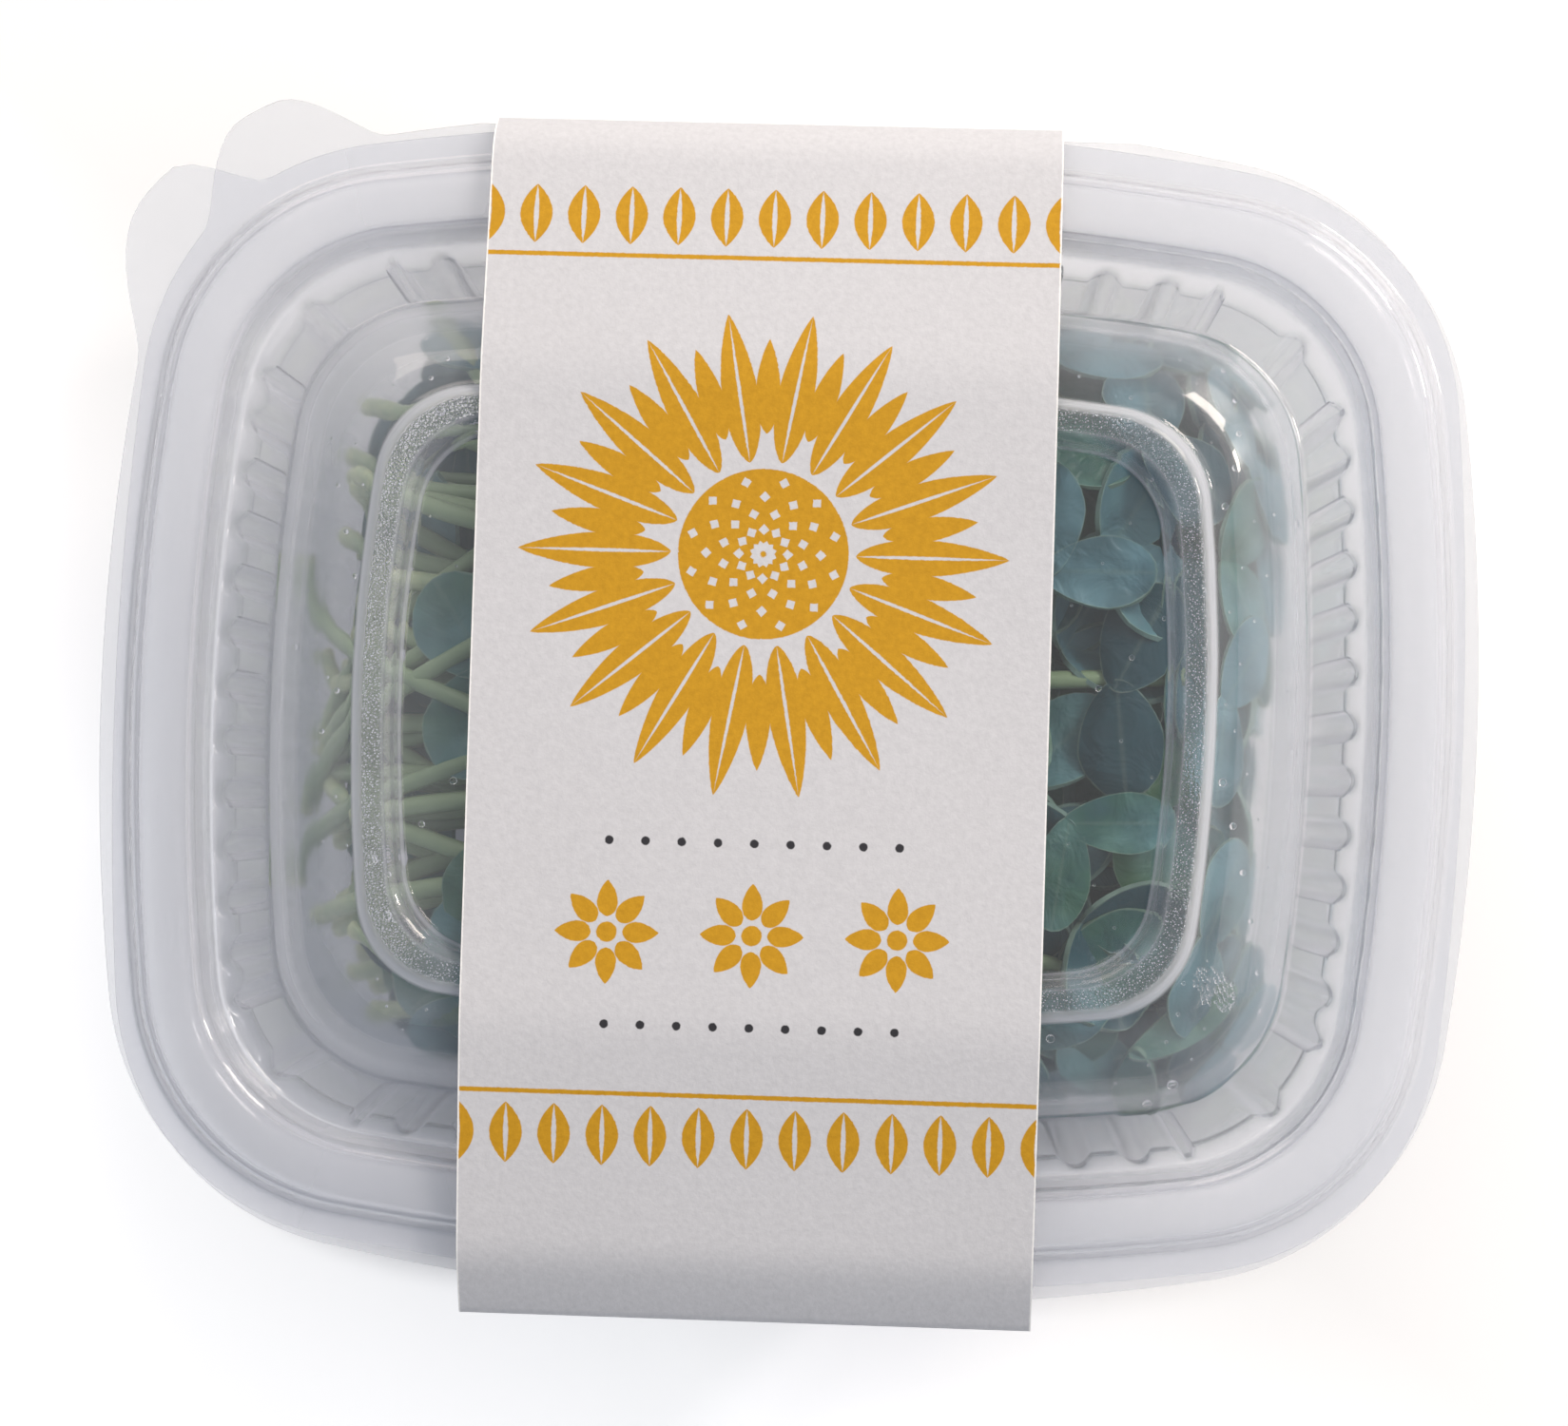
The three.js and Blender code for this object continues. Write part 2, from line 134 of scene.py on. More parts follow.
def other_face(rows, thickness):
    """The rows of a sheet's upper face, parallel to those of its lower face."""
    upper = []
    for i, row in enumerate(rows):
        ahead = rows[min(i + 1, len(rows) - 1)] - rows[max(i - 1, 0)]
        across = Vector((ahead.y, -ahead.x)).normalized() * thickness
        upper.append(row + Vector((across.x, across.y, 0, 0)))
    return upper


def tab_reach(tab, lip, point):
    """How far the lip's edge swells into the pull tab at a point, away from the centre of the
    back left corner."""
    centre = Vector((lip["bow_x"] + lip["corner"] - lip["half_x"],
                     lip["half_y"] - lip["bow_y"] - lip["corner"]))
    spoke = point - centre
    offset = math.degrees(math.atan2(spoke.y, spoke.x)) - tab["middle"]
    half_spread = tab["back"] if offset < 0 else tab["side"]
    rise = min(max((half_spread - abs(offset)) / (half_spread - 3), 0), 1)
    return spoke.normalized() * tab["reach"] * rise**2 * (3 - 2 * rise)


def flute(place):
    """How much of the full flute stands at a place: 1 on a flute's crest, 0 between flutes."""
    if place < 1.2:
        step, pitch = SHORT_SIDE_PITCH
        offset = (place / step - min(round(place / step), 6)) * pitch
    elif place > 1.85:
        step, pitch = LONG_SIDE_PITCH
        offset = ((3 - place) / step - min(round((3 - place) / step), 7)) * pitch
    else:
        offset = (place - 1.5) * CORNER_LENGTH
    return max(0, 1 - (offset / FLUTE_HALF_WIDTH) ** 2)


def formed_sheet(stations, course, thickness, tab, lip):
    """A shell of formed sheet as a bmesh: a capped ring in the middle of its lower face, drawn
    out row by row to the lip, over the edge and back in to the middle of its upper face. The
    faces of the upper side take the second material."""
    bm = bmesh.new()
    number = bm.verts.layers.int.new("station")
    inset_layer = bm.verts.layers.float.new("inset")
    ring = bmesh.ops.create_circle(bm, cap_ends=True, cap_tris=True, segments=len(stations),
                                   radius=1)["verts"]
    centre = next(v for v in ring if v.co.length < 0.5)
    ring.remove(centre)
    for i, v in enumerate(ring):
        v[number] = i
    edges = [e for e in bm.edges if e.is_boundary]
    flutes = [flute(place) for place, _, _ in stations]
    rows = course + other_face(course, thickness)[::-1]
    for row_number, row in enumerate(rows):
        if row_number:
            grown = bmesh.ops.extrude_edge_only(bm, edges=edges)["geom"]
            ring = [g for g in grown if isinstance(g, bmesh.types.BMVert)]
            edges = [g for g in grown if isinstance(g, bmesh.types.BMEdge)]
            for f in [g for g in grown if isinstance(g, bmesh.types.BMFace)]:
                f.material_index = int(row_number > len(course))
        inset, height, depth, to_lip = row
        for v in ring:
            place, sign_x, sign_y = stations[v[number]]
            flat = plan_point(LID_LIP, inset - depth * flutes[v[number]], place)
            flat = flat.lerp(plan_point(TUB_LIP, 0, place), to_lip)
            flat = Vector((sign_x * flat.x, min(sign_y * flat.y, STRAIGHT_BACK_Y)))
            if tab and inset < 0.05:
                flat += tab_reach(tab, lip, flat)
            v.co = (*flat, height)
            v[inset_layer] = inset
    centre.co = (0, 0, rows[0].y)
    inner = bmesh.ops.contextual_create(bm, geom=edges)["faces"]
    other_centre = bmesh.ops.poke(bm, faces=inner)["verts"][0]
    other_centre.co = (0, 0, rows[-1].y)
    for v in (centre, other_centre):
        v[inset_layer] = rows[0].x
    for f in other_centre.link_faces:
        f.material_index = 1
    bmesh.ops.recalc_face_normals(bm, faces=bm.faces)
    return bm


def make_piece(name, bm, materials, sharp=40, replaces=None):
    """Turns a bmesh in millimetres into a finished piece in metres, which rides on the tray."""
    mesh = bpy.data.meshes.new(name)
    bm.to_mesh(mesh)
    bm.free()
    mesh.transform(Matrix.Scale(0.001, 4))
    for material in materials:
        mesh.materials.append(material)
    mesh.shade_smooth()
    mesh.set_sharp_from_angle(angle=math.radians(sharp))
    piece = bpy.data.objects.new(name, mesh)
    bpy.context.scene.collection.objects.link(piece)
    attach(piece, "root")
    if replaces:
        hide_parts(replaces)
    return piece


def linear(colour):
    """An sRGB hex colour as the linear colour that a shader takes."""
    parts = [int(colour[i : i + 2], 16) / 255 for i in (1, 3, 5)]
    return [c / 12.92 if c <= 0.04045 else ((c + 0.055) / 1.055) ** 2.4 for c in parts] + [1]


def add_node(tree, kind, settings, inputs):
    """Adds a node, with its settings, and its inputs as values or as links from sockets."""
    node = tree.nodes.new(kind)
    for name, value in settings.items():
        setattr(node, name, value)
    for name, value in inputs.items():
        if isinstance(value, bpy.types.NodeSocket):
            tree.links.new(value, node.inputs[name])
        else:
            node.inputs[name].default_value = value
    return node


def new_material(name):
    """An empty material, its node tree, and its output node."""
    material = bpy.data.materials.new(name)
    material.use_nodes = True
    material.node_tree.nodes.clear()
    tree = material.node_tree
    return material, tree, add_node(tree, "ShaderNodeOutputMaterial", {}, {})


def let_light_in(tree, output, surface):
    """Finishes a clear sheet: light on its way to what lies inside the tray passes through."""
    path = add_node(tree, "ShaderNodeLightPath", {}, {})
    lighting = add_node(tree, "ShaderNodeMath", {"operation": "MAXIMUM"},
                        {0: path.outputs["Is Shadow Ray"], 1: path.outputs["Is Diffuse Ray"]})
    passing = add_node(tree, "ShaderNodeBsdfTransparent", {}, {"Color": linear("#F8F8FB")})
    mixed = add_node(tree, "ShaderNodeMixShader", {},
                     {0: lighting.outputs[0], 1: surface.outputs[0], 2: passing.outputs[0]})
    tree.links.new(mixed.outputs[0], output.inputs["Surface"])


def formed_plastic(name, haze, stops, fog_at_cuts=0.0):
    """Clear thermoformed polypropylene: glossy and a little milky, with the faint ripple that
    the sheet gets as it is drawn over the mould. Where it is thick, at the lips, it is milkier.
    The stops say how it is at some distances from the lip: blur of fog, milk, beaded drops.
    A strip over the cut ends, along the sleeve's left edge, can be fogged as well."""
    material, tree, output = new_material(name)
    coords = add_node(tree, "ShaderNodeTexCoord", {}, {}).outputs["Object"]
    inset = add_node(tree, "ShaderNodeAttribute", {"attribute_name": "inset"}, {}).outputs["Fac"]
    cloud = add_node(tree, "ShaderNodeTexNoise", {},
                     {"Vector": coords, "Scale": 70.0, "Detail": 3.0}).outputs["Fac"]
    wander = add_node(tree, "ShaderNodeMath", {"operation": "MULTIPLY_ADD"},
                      {0: cloud, 1: 0.4, 2: inset})
    place = add_node(tree, "ShaderNodeMath", {"operation": "MULTIPLY"},
                     {0: wander.outputs[0], 1: 0.02})
    zones = add_node(tree, "ShaderNodeValToRGB", {}, {"Fac": place.outputs[0]})
    elements = zones.color_ramp.elements
    elements[0].position, elements[1].position = 0.95, 1.0
    elements[0].color = elements[1].color = (*stops[-1][1:], 1)
    for distance, blur, milk, drops in stops:
        elements.new((distance + 0.2) * 0.02).color = (blur, milk, drops, 1)
    parts = add_node(tree, "ShaderNodeSeparateColor", {}, {0: zones.outputs["Color"]})
    ripple = add_node(tree, "ShaderNodeTexNoise", {},
                      {"Vector": coords, "Scale": 60.0, "Detail": 1.0}).outputs["Fac"]
    ripple_bump = add_node(tree, "ShaderNodeBump", {},
                           {"Height": ripple, "Strength": 0.1, "Distance": 0.0003})
    drops = add_node(tree, "ShaderNodeTexVoronoi", {}, {"Vector": coords, "Scale": 3900.0})
    drop_height = add_node(tree, "ShaderNodeMath", {"operation": "MULTIPLY"},
                           {0: drops.outputs["Distance"], 1: parts.outputs["Blue"]})
    drop_bump = add_node(tree, "ShaderNodeBump", {}, {
        "Height": drop_height.outputs[0], "Strength": 1.0, "Distance": 0.00015,
        "Normal": ripple_bump.outputs["Normal"]})
    glint = add_node(tree, "ShaderNodeMapRange", {},
                     {"Value": drops.outputs["Distance"], "From Min": 0.1, "From Max": 0.36,
                      "To Min": 0.95, "To Max": 0.0})
    milk = add_node(tree, "ShaderNodeMath", {"operation": "MULTIPLY_ADD"},
                    {0: glint.outputs[0], 1: parts.outputs["Blue"], 2: parts.outputs["Green"]})
    # looked through at a slant, the way through the sheet is longer and so it scatters more
    slant = add_node(tree, "ShaderNodeLayerWeight", {}, {"Blend": 0.5}).outputs["Facing"]
    steep = add_node(tree, "ShaderNodeMath", {"operation": "POWER"}, {0: slant, 1: 2.0})
    sideways = add_node(tree, "ShaderNodeSeparateXYZ", {}, {0: coords}).outputs["X"]
    from_cuts = add_node(tree, "ShaderNodeMath", {"operation": "ADD"}, {0: sideways, 1: 0.04})
    off_cuts = add_node(tree, "ShaderNodeMath", {"operation": "ABSOLUTE"}, {0: from_cuts.outputs[0]})
    fog = add_node(tree, "ShaderNodeMapRange", {},
                   {"Value": off_cuts.outputs[0], "From Min": 0.006, "From Max": 0.013,
                    "To Min": fog_at_cuts, "To Max": 0.0})
    misty = add_node(tree, "ShaderNodeMath", {"operation": "ADD"},
                     {0: fog.outputs[0], 1: milk.outputs[0]})
    scattered = add_node(tree, "ShaderNodeMath", {"operation": "MULTIPLY_ADD", "use_clamp": True},
                         {0: steep.outputs[0], 1: 0.5, 2: misty.outputs[0]})
    clear = add_node(tree, "ShaderNodeBsdfPrincipled", {}, {
        "Base Color": linear("#F6F7F9"), "IOR": 1.49, "Roughness": parts.outputs["Red"],
        "Transmission Weight": 1.0, "Normal": drop_bump.outputs["Normal"]})
    back = add_node(tree, "ShaderNodeBsdfDiffuse", {}, {"Color": linear(haze)})
    onward = add_node(tree, "ShaderNodeBsdfTranslucent", {}, {"Color": linear(haze)})
    milky = add_node(tree, "ShaderNodeMixShader", {},
                     {0: 0.45, 1: back.outputs[0], 2: onward.outputs[0]})
    let_light_in(tree, output, add_node(tree, "ShaderNodeMixShader", {}, {
        0: scattered.outputs[0], 1: clear.outputs[0], 2: milky.outputs[0]}))
    return material


clear_pp = formed_plastic("thermoformed_polypropylene", "#ECEDF0", [
    (0, 0.06, 0.22, 0), (9, 0.06, 0.18, 0), (11.5, 0.05, 0.04, 0), (17, 0.05, 0.04, 0),
    (19, 0.05, 0.07, 0), (27.4, 0.05, 0.04, 0), (27.7, 0.05, 0.5, 0), (28.6, 0.05, 0.5, 0),
    (29, 0.05, 0.04, 0), (31, 0.05, 0.03, 0), (33, 0.02, 0.01, 0)])

tub = formed_sheet(round_the_plan(84, 34, 96), soft_corners(TUB_COURSE, 1.5), TUB_SHEET,
                   TUB_TAB, TUB_LIP)
make_piece("tub_shell", tub, [clear_pp, clear_pp], replaces="tub")

# ---- Shoots -----------------------------------------------------------------------------------
# Cut sunflower shoots, about ten days old: a pale round stem and two fleshy seed leaves. They
# lie in a heap with their cut ends to one side, packed closely enough to hold each other.

SHOOTS = 56  # in the tray's list of nodes
PACKED = 290  # more pairs of leaves, which fill the other end
LOOSE = 40  # and some that lie across the cut ends
STEM_RADIUS = 1.05
LEAF_THICKNESS = 0.55


def spread(number, step, least, most):
    """Values scattered evenly over a range, one for each shoot."""
    return least + (most - least) * ((0.5 + number * step) % 1)


def in_heap(x, y, layer, lift=0.0):
    """Takes a point of a flat shoot to its place in the heap: drawn in from the walls, and
    bent down at the top and up at the foot of the heap as its layer is."""
    over_x, over_y = max(abs(x) - 36, 0), max(abs(y) - 25, 0)
    over = math.hypot(over_x, over_y)
    room = 15.5 + 3 * layer
    kept = room * math.tanh(over / room) / over if over > 0 else 1
    near = kept * over / 18
    fall = min(max((-x - 28) / 30, 0), 1)
    top = 52.3 - 12 * near**3 - 10 * fall**2 * (3 - 2 * fall)
    bottom = 3 + 4 * near**2
    height = bottom + (top - bottom) * layer + lift
    over_top = max(height - top + 0.2, 0)
    height += 0.7 * math.tanh(over_top / 0.7) - over_top
    return Vector((math.copysign(abs(x) - over_x + kept * over_x, x),
                   math.copysign(abs(y) - over_y + kept * over_y, y), height))


def flat_plan(number, layer, tip_x, tip_y, cut_x, follow, drift):
    """Where a shoot lies before it is put in the heap, from the ranges that its tip and its
    cut end may lie in, how far the cut follows the tip, and how far it drifts from there."""
    tip = Vector((spread(number, 0.7549, *tip_x), spread(number, 0.5698, *tip_y)))
    cut = Vector((spread(number, 0.8192, *cut_x),
                  follow * tip.y + spread(number, 0.618, -drift, drift)))
    return {
        "layer": layer, "cut": cut, "tip": tip,
        "middle": Vector(((tip.x + cut.x) / 2, 0.36 * (tip.y + cut.y))),
        "opening": spread(number, 0.7071, 35, 80), "turn": spread(number, 0.4142, -25, 25),
        "length": spread(number, 0.3028, 12, 15.6), "width": spread(number, 0.2361, 7.6, 9.8),
        "cup": spread(number, 0.5412, -0.1, 0.28), "roll": spread(number, 0.8721, -0.22, 0.22),
        "arch": spread(number, 0.3333, -0.05, 0.09), "tone": spread(number, 0.4656, 0, 0.6),
    }


def along_stem(plan, t):
    """A point of the stem's flat centre line, a smooth curve through cut, middle and tip."""
    cut, middle, tip = plan["cut"], plan["middle"], plan["tip"]
    if t < 0.5:
        before, start, end, after, s = cut, cut, middle, tip, 2 * t
    else:
        before, start, end, after, s = cut, middle, tip, tip, 2 * t - 1
    leave, arrive = (end - before) / 2, (after - start) / 2
    return ((2 * s**3 - 3 * s**2 + 1) * start + (s**3 - 2 * s**2 + s) * leave
            + (3 * s**2 - 2 * s**3) * end + (s**3 - s**2) * arrive)


def add_stem(bm, growth, plan, steps):
    """A round stem, cut square at its foot: an eight-sided ring drawn out along its line."""
    points = [in_heap(*along_stem(plan, i / steps), plan["layer"]) for i in range(steps + 1)]
    ring = bmesh.ops.create_circle(bm, cap_ends=True, segments=8, radius=STEM_RADIUS)["verts"]
    edges = list({e for v in ring for e in v.link_edges})
    for i, point in enumerate(points):
        ahead = points[min(i + 1, steps)] - points[max(i - 1, 0)]
        turn = ahead.to_track_quat("Z", "Y")
        thick = 1.04 - 0.16 * i / steps
        if i:
            grown = bmesh.ops.extrude_edge_only(bm, edges=edges)["geom"]
            ring = [g for g in grown if isinstance(g, bmesh.types.BMVert)]
            edges = [g for g in grown if isinstance(g, bmesh.types.BMEdge)]
            for v in ring:
                v.co = turn @ (last_turn.inverted() @ (v.co - points[i - 1])
                               * thick / last_thick) + point
        else:
            for v in ring:
                v.co = turn @ (v.co * thick) + point
        last_turn, last_thick = turn, thick
        for v in ring:
            v[growth] = (i / steps, 0, plan["tone"], 0)
    bmesh.ops.contextual_create(bm, geom=edges)


def add_leaf(bm, growth, plan, side, columns, rows):
    """A seed leaf: a grid pulled to an egg shape, cupped and arched, given its thickness."""
    ahead = plan["tip"] - plan["middle"]
    heading = math.atan2(ahead.y, ahead.x) + math.radians(plan["turn"] + side * plan["opening"])
    grid = bmesh.ops.create_grid(bm, x_segments=columns, y_segments=rows, size=1)["verts"]
    length, half_width = plan["length"], plan["width"] / 2
    for v in grid:
        along, across = v.co.x, v.co.y
        round_along = along * math.sqrt(1 - across**2 / 2)
        round_across = across * math.sqrt(1 - along**2 / 2)
        t = (1 + round_along) / 2
        narrow = 0.66 + 0.38 * min(t / 0.6, 1) ** 0.8
        flat = Vector((length * t - 0.7, half_width * 1.06 * round_across * narrow))
        lift = (plan["cup"] * across**2 + side * plan["roll"] * across) * half_width
        lift += plan["arch"] * length * (1 - (2 * t - 1) ** 2)
        lift -= 0.28 * math.exp(-((across / 0.14) ** 2)) * math.sin(math.pi * t)
        flat.rotate(Matrix.Rotation(heading, 2))
        v.co = in_heap(*(flat + plan["tip"]), plan["layer"], lift)
        v[growth] = (t, max(abs(along), abs(across)), plan["tone"], 0.55 + 0.45 * across)
    faces = list({f for v in grid for f in v.link_faces})
    bmesh.ops.recalc_face_normals(bm, faces=faces)
    bmesh.ops.solidify(bm, geom=faces, thickness=LEAF_THICKNESS)
    for f in {f for v in bm.verts if v[growth][3] for f in v.link_faces}:
        f.material_index = 1


def add_shoot(bm, growth, plan, steps, columns, rows):
    add_stem(bm, growth, plan, steps)
    for side in (1, -1):
        add_leaf(bm, growth, plan, side, columns, rows)


# Fresh stem: waxy pale green tissue, yellower at the cut, with fine lengthwise streaks.
stem_skin, tree, output = new_material("fresh_stem")
growth_value = add_node(tree, "ShaderNodeAttribute", {"attribute_name": "growth"}, {})
parts = add_node(tree, "ShaderNodeSeparateColor", {}, {0: growth_value.outputs["Color"]})
coords = add_node(tree, "ShaderNodeTexCoord", {}, {}).outputs["Object"]
streak = add_node(tree, "ShaderNodeTexNoise", {}, {"Vector": coords, "Scale": 700.0, "Detail": 2.0})
age = add_node(tree, "ShaderNodeMath", {"operation": "MULTIPLY_ADD"},
               {0: streak.outputs["Fac"], 1: 0.3, 2: parts.outputs["Red"]})
tissue = add_node(tree, "ShaderNodeValToRGB", {}, {"Fac": age.outputs[0]})
tissue.color_ramp.elements[0].position = 0.12
tissue.color_ramp.elements[0].color = linear("#B9C092")
tissue.color_ramp.elements[1].position = 1.0
tissue.color_ramp.elements[1].color = linear("#7D936F")
tissue.color_ramp.elements.new(0.3).color = linear("#8FA37B")
bump = add_node(tree, "ShaderNodeBump", {}, {"Height": streak.outputs["Fac"], "Strength": 0.3,
                                             "Distance": 0.0002})
flesh = add_node(tree, "ShaderNodeBsdfPrincipled", {}, {
    "Base Color": tissue.outputs["Color"], "Roughness": 0.45, "IOR": 1.42,
    "Normal": bump.outputs["Normal"]})
tree.links.new(flesh.outputs[0], output.inputs["Surface"])

# Fresh seed leaf: thick blue-green flesh under a waxy bloom, darker and greener inside, with a
# thin pale edge and a faint midrib, a few soft wrinkles and a soft shine. A little light comes
# through it, which turns green.
leaf_skin, tree, output = new_material("fresh_seed_leaf")
growth_value = add_node(tree, "ShaderNodeAttribute", {"attribute_name": "growth"}, {})
parts = add_node(tree, "ShaderNodeSeparateColor", {}, {0: growth_value.outputs["Color"]})
coords = add_node(tree, "ShaderNodeTexCoord", {}, {}).outputs["Object"]
mottle = add_node(tree, "ShaderNodeTexNoise", {}, {"Vector": coords, "Scale": 260.0, "Detail": 3.0})
tone = add_node(tree, "ShaderNodeMath", {"operation": "MULTIPLY_ADD"},
                {0: mottle.outputs["Fac"], 1: 0.4, 2: parts.outputs["Blue"]})
green = add_node(tree, "ShaderNodeValToRGB", {}, {"Fac": tone.outputs[0]})
green.color_ramp.elements[0].position = 0.15
green.color_ramp.elements[0].color = linear("#103843")
green.color_ramp.elements[1].position = 0.86
green.color_ramp.elements[1].color = linear("#4E7A3A")
green.color_ramp.elements.new(0.5).color = linear("#164A53")
green.color_ramp.elements.new(0.66).color = linear("#205A46")
drift = add_node(tree, "ShaderNodeTexNoise", {}, {"Vector": coords, "Scale": 130.0, "Detail": 2.0})
shuffled = add_node(tree, "ShaderNodeMath", {"operation": "MULTIPLY"},
                    {0: parts.outputs["Blue"], 1: 23.7})
own_bloom = add_node(tree, "ShaderNodeMath", {"operation": "FRACT"}, {0: shuffled.outputs[0]})
thickness = add_node(tree, "ShaderNodeMath", {"operation": "MULTIPLY_ADD"},
                     {0: own_bloom.outputs[0], 1: 0.4, 2: drift.outputs["Fac"]})
waxed = add_node(tree, "ShaderNodeMapRange", {"interpolation_type": "SMOOTHSTEP"},
                 {"Value": thickness.outputs[0], "From Min": 0.55, "From Max": 0.95,
                  "To Min": 0.03, "To Max": 0.6})
bloom = add_node(tree, "ShaderNodeMix", {"data_type": "RGBA"},
                 {0: waxed.outputs[0], 6: green.outputs["Color"], 7: linear("#76A5AF")})
rib_offset = add_node(tree, "ShaderNodeMath", {"operation": "SUBTRACT"},
                      {0: growth_value.outputs["Alpha"], 1: 0.55})
rib_distance = add_node(tree, "ShaderNodeMath", {"operation": "ABSOLUTE"}, {0: rib_offset.outputs[0]})
rib = add_node(tree, "ShaderNodeMapRange", {"interpolation_type": "SMOOTHSTEP"},
               {"Value": rib_distance.outputs[0], "From Min": 0.0, "From Max": 0.05,
                "To Min": 0.16, "To Max": 0.0})
rim = add_node(tree, "ShaderNodeMapRange", {"interpolation_type": "SMOOTHSTEP"},
               {"Value": parts.outputs["Green"], "From Min": 0.95, "From Max": 1.0,
                "To Min": 0.0, "To Max": 0.5})
pale = add_node(tree, "ShaderNodeMath", {"operation": "MAXIMUM"}, {0: rib.outputs[0],
                                                                   1: rim.outputs[0]})
skin = add_node(tree, "ShaderNodeMix", {"data_type": "RGBA"},
                {0: pale.outputs[0], 6: bloom.outputs[2], 7: linear("#93AC96")})
wrinkles = add_node(tree, "ShaderNodeTexNoise", {},
                    {"Vector": coords, "Scale": 240.0, "Detail": 3.0, "Distortion": 0.6})
bump = add_node(tree, "ShaderNodeBump", {}, {"Height": wrinkles.outputs["Fac"], "Strength": 0.6,
                                             "Distance": 0.0012})
flesh = add_node(tree, "ShaderNodeBsdfPrincipled", {}, {
    "Base Color": skin.outputs[2], "Roughness": 0.42, "IOR": 1.42, "Normal": bump.outputs["Normal"]})
through = add_node(tree, "ShaderNodeBsdfTranslucent", {}, {"Color": linear("#6FA35C")})
leaf = add_node(tree, "ShaderNodeMixShader", {}, {0: 0.25, 1: flesh.outputs[0],
                                                  2: through.outputs[0]})
tree.links.new(leaf.outputs[0], output.inputs["Surface"])

for shoot in range(SHOOTS):
    bm = bmesh.new()
    growth = bm.verts.layers.float_color.new("growth")
    plan = flat_plan(shoot, (shoot + 0.5) / SHOOTS, (-6, 42), (-36, 36), (-57, -42), 0.95, 3.4)
    add_shoot(bm, growth, plan, 16, 10, 8)
    make_piece(f"sunflower_shoot_{shoot + 1:02d}", bm, [stem_skin, leaf_skin], sharp=70,
               replaces=f"shoot_{shoot + 1:02d}")

for filler in range(PACKED):
    bm = bmesh.new()
    growth = bm.verts.layers.float_color.new("growth")
    plan = flat_plan(SHOOTS + filler, 0.02 + (filler + 0.5) / PACKED, (8, 54), (-45, 45),
                     (-18, 4), 0.8, 12)
    plan["tip"].x -= 9 * math.exp(-(((plan["tip"].y + 11) / 11) ** 2))
    plan["length"] *= spread(filler, 0.6823, 0.8, 1.1)
    plan["width"] *= spread(filler, 0.2679, 0.7, 1.05)
    # painted light: leaves lower in the heap get a lighter, greener tone that lifts their shade
    plan["tone"] += 0.35 * max(0.9 - plan["layer"], 0)
    plan["cup"], plan["roll"], plan["arch"] = 2 * plan["cup"], 3 * plan["roll"], 2 * plan["arch"]
    columns, rows = (5, 4) if filler < 190 else (8, 6)  # only the uppermost are seen closely
    for side in (1, -1):
        add_leaf(bm, growth, plan, side, columns, rows)
    make_piece(f"packed_leaves_{filler + 1:03d}", bm, [stem_skin, leaf_skin], sharp=70)

turned_round = {15: (-29, 36), 22: (-31, 2), 26: (-29, -33), 35: (-31, -27)}  # tips
# shoots that reach further to the wall: their cut ends and tips
reaching = {39: ((-84, 15), (-24, -5)), 38: ((-64, -13), (-20, 12)), 37: ((-80, -21), (-18, -2)),
            36: ((-43, 52), (-24, 12))}
for filler in range(LOOSE):
    bm = bmesh.new()
    growth = bm.verts.layers.float_color.new("growth")
    plan = flat_plan(SHOOTS + filler, 0.6 + 0.42 * (filler + 0.5) / LOOSE, (-28, 4), (-36, 36),
                     (-61, -42), 0.5, 22)
    if filler < 12:
        plan["tip"].x, plan["cut"].x = 0.6 * plan["cut"].x - 6, plan["tip"].x + 20
    if filler in turned_round:
        plan["tip"] = Vector(turned_round[filler])
        plan["cut"] = plan["tip"] + Vector((24, spread(filler, 0.618, -8, 8)))
        plan["layer"] = 1
    if filler in reaching:
        plan["cut"], plan["tip"] = map(Vector, reaching[filler])
    plan["middle"] = (plan["tip"] + plan["cut"]) / 2
    plan["middle"].y += spread(filler, 0.2887, -2.5, 2.5)
    add_shoot(bm, growth, plan, 10, 8, 6)
    make_piece(f"loose_shoot_{filler + 1:02d}", bm, [stem_skin, leaf_skin], sharp=70)

# ---- Lid --------------------------------------------------------------------------------------
# The lid is formed from the same sheet, a little thinner. Its bead presses over the tub's, a
# plug wall and a channel grip it from inside, and a shoulder rises to a ring round a low panel.
# The shoots' damp has fogged the ring and the shoulder and left a few drops under the panel.

LID_TAB = {"middle": 139.5, "back": 17.5, "side": 33, "reach": 7.3}
LID_LIP_HEIGHT = 48.3

# the sheet's lower face: inset from the lip, and height above the lip
LID_SHEET = 0.4
LID_COURSE = [
    (33.6, 5.25), (32.4, 5.25), (31.5, 7.75), (28.5, 7.75), (27.85, 6.25), (24.6, 5.75),
    (21.8, 3.95), (19.6, 1.05), (17.7, -3.15), (11.2, -3.15), (9.9, 2.2), (4, 2.2),
    (2.9, 0.02), (0, 0.02),
]

course = [(inset, LID_LIP_HEIGHT + height, 0, 0) for inset, height in LID_COURSE]
lid = formed_sheet(round_the_plan(28, 26, 34), soft_corners(course, 0.9), LID_SHEET, LID_TAB,
                   LID_LIP)

